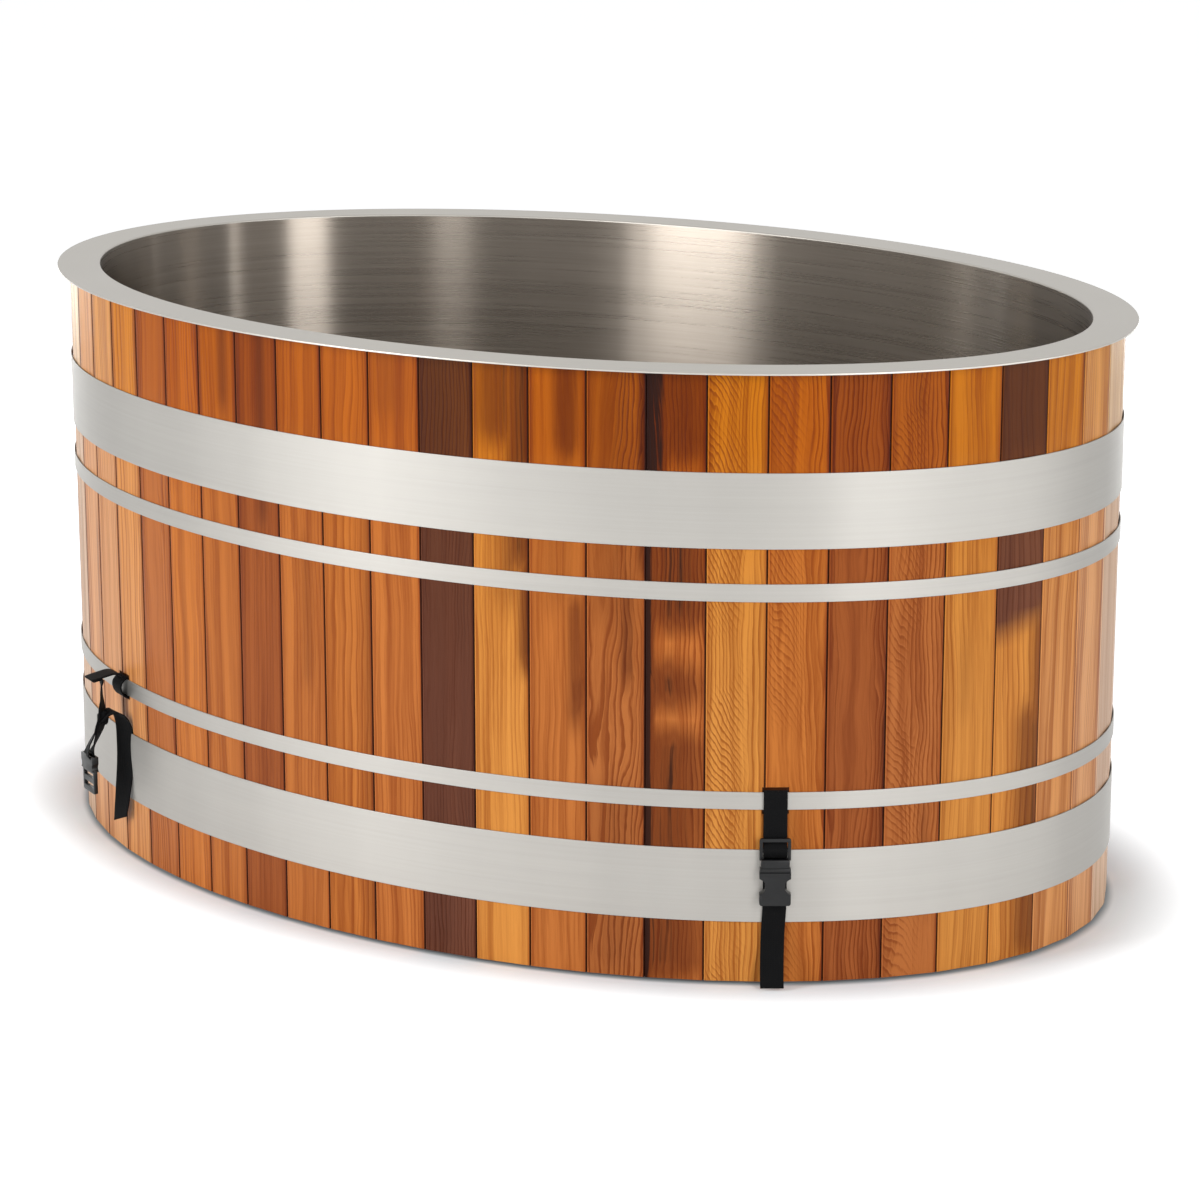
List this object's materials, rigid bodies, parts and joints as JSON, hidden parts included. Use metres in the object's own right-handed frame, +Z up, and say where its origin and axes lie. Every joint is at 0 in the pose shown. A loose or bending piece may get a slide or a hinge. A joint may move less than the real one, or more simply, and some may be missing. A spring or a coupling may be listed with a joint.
{
  "type": "cold plunge tub",
  "caption": "Oval cold plunge tub: brushed steel liner and flat rim in a wall of cedar staves held by steel hoops, with drain valve, chiller ports and cover straps.",
  "frame": {"origin": "on the floor under the middle of the oval, at the middle foot strip", "axes": "+Z up; +X along the oval's long axis, to the right seen from the front; -Y to the front, +Y to the drain and ports"},
  "size_m": [1.355, 1.0101, 0.66],
  "materials": {
    "cedar": "satin, oiled, straight and figured grain",
    "bearer_wood": "planed, matte",
    "plywood": "matte",
    "foam": "closed-cell foam, matte",
    "rubber": "matte",
    "rim_steel": "satin, brushed round the rim",
    "liner_steel": "brushed along the wall",
    "hoop_steel": "satin, brushed along the hoop",
    "fastener_steel": "plain steel",
    "fitting_steel": "turned and polished",
    "valve_nickel": "nickel plate over brass, satin",
    "pipe_plastic": "white pressure pipe",
    "seat_plastic": "smooth, waxy",
    "grip_vinyl": "dipped vinyl",
    "webbing": "woven flat strap, matte",
    "buckle_plastic": "moulded, fine grain"
  },
  "bodies": {
    "tub": {"foot_strips": "rubber", "bearers": "bearer_wood", "base_screws": "fastener_steel", "base_plate": "plywood", "floor_foam": "foam", "wall_foam": "foam", "top_rib": "plywood", "liner_wall": "liner_steel", "liner_floor": "liner_steel", "rim_flange": "rim_steel", "staves_front_left": "cedar", "staves_front_right": "cedar", "staves_right_front": "cedar", "staves_right_back": "cedar", "staves_back_right": "cedar", "staves_back_left": "cedar", "staves_left_back": "cedar", "staves_left_front": "cedar", "hoop_upper_wide": "hoop_steel", "hoop_upper_narrow": "hoop_steel", "hoop_lower_narrow": "hoop_steel", "hoop_lower_wide": "hoop_steel", "hoop_lugs": "hoop_steel", "draw_bolts": "fastener_steel", "draw_nuts": "fastener_steel", "drain_flange": "fitting_steel", "drain_gasket": "rubber", "drain_locknut": "pipe_plastic", "drain_elbow": "pipe_plastic", "drain_pipe": "pipe_plastic", "drain_escutcheon": "fitting_steel", "valve_body": "valve_nickel", "valve_seats": "seat_plastic", "packing_nut": "fastener_steel", "hose_outlet": "valve_nickel", "port_grilles": "fitting_steel", "port_gaskets": "rubber", "port_bodies": "fitting_steel", "port_washers": "rubber", "port_locknuts": "fitting_steel", "strap_loops": "webbing"},
    "strainer": {"drain_strainer": "fitting_steel"},
    "lever": {"valve_ball": "fitting_steel", "valve_stem": "fastener_steel", "valve_lever": "fastener_steel", "lever_grip": "grip_vinyl", "lever_nut": "fastener_steel"},
    "strap_1": {"strap_1_webbing": "webbing", "buckle_1_plug": "buckle_plastic"},
    "socket_1": {"buckle_1_socket": "buckle_plastic"},
    "strap_2": {"strap_2_webbing": "webbing", "buckle_2_socket": "buckle_plastic"},
    "strap_3": {"strap_3_webbing": "webbing", "buckle_3_plug": "buckle_plastic"},
    "socket_3": {"buckle_3_socket": "buckle_plastic"},
    "strap_4": {"strap_4_webbing": "webbing", "buckle_4_plug": "buckle_plastic"},
    "socket_4": {"buckle_4_socket": "buckle_plastic"}
  },
  "joints": [
    {"name": "strainer_lift", "type": "slide", "parent": "tub", "child": "strainer", "axis": [0, 0, 1], "range_m": [0, 0.04]},
    {"name": "lever_turn", "type": "hinge", "parent": "tub", "child": "lever", "pos_m": [-0.01507, 0.48838, 0.027], "axis": [0, 0, -1], "range_deg": [0, 90]},
    {"name": "strap_1_swing", "type": "hinge", "parent": "tub", "child": "strap_1", "pos_m": [0.47524, -0.31977, 0.2147], "axis": [-0.8233, -0.5676, 0], "range_deg": [0, 150]},
    {"name": "buckle_1_release", "type": "slide", "parent": "strap_1", "child": "socket_1", "axis": [0, 0, -1], "range_m": [0, 0.032]},
    {"name": "strap_2_swing", "type": "hinge", "parent": "tub", "child": "strap_2", "pos_m": [-0.3827, -0.37294, 0.2147], "axis": [-0.903, 0.4297, 0], "range_deg": [0, 60]},
    {"name": "strap_3_swing", "type": "hinge", "parent": "tub", "child": "strap_3", "pos_m": [0.47524, 0.31977, 0.2147], "axis": [0.8233, -0.5676, 0], "range_deg": [0, 150]},
    {"name": "buckle_3_release", "type": "slide", "parent": "strap_3", "child": "socket_3", "axis": [0, 0, -1], "range_m": [0, 0.032]},
    {"name": "strap_4_swing", "type": "hinge", "parent": "tub", "child": "strap_4", "pos_m": [-0.3827, 0.37294, 0.2147], "axis": [0.903, 0.4297, 0], "range_deg": [0, 150]},
    {"name": "buckle_4_release", "type": "slide", "parent": "strap_4", "child": "socket_4", "axis": [0, 0, -1], "range_m": [0, 0.032]}
  ]
}
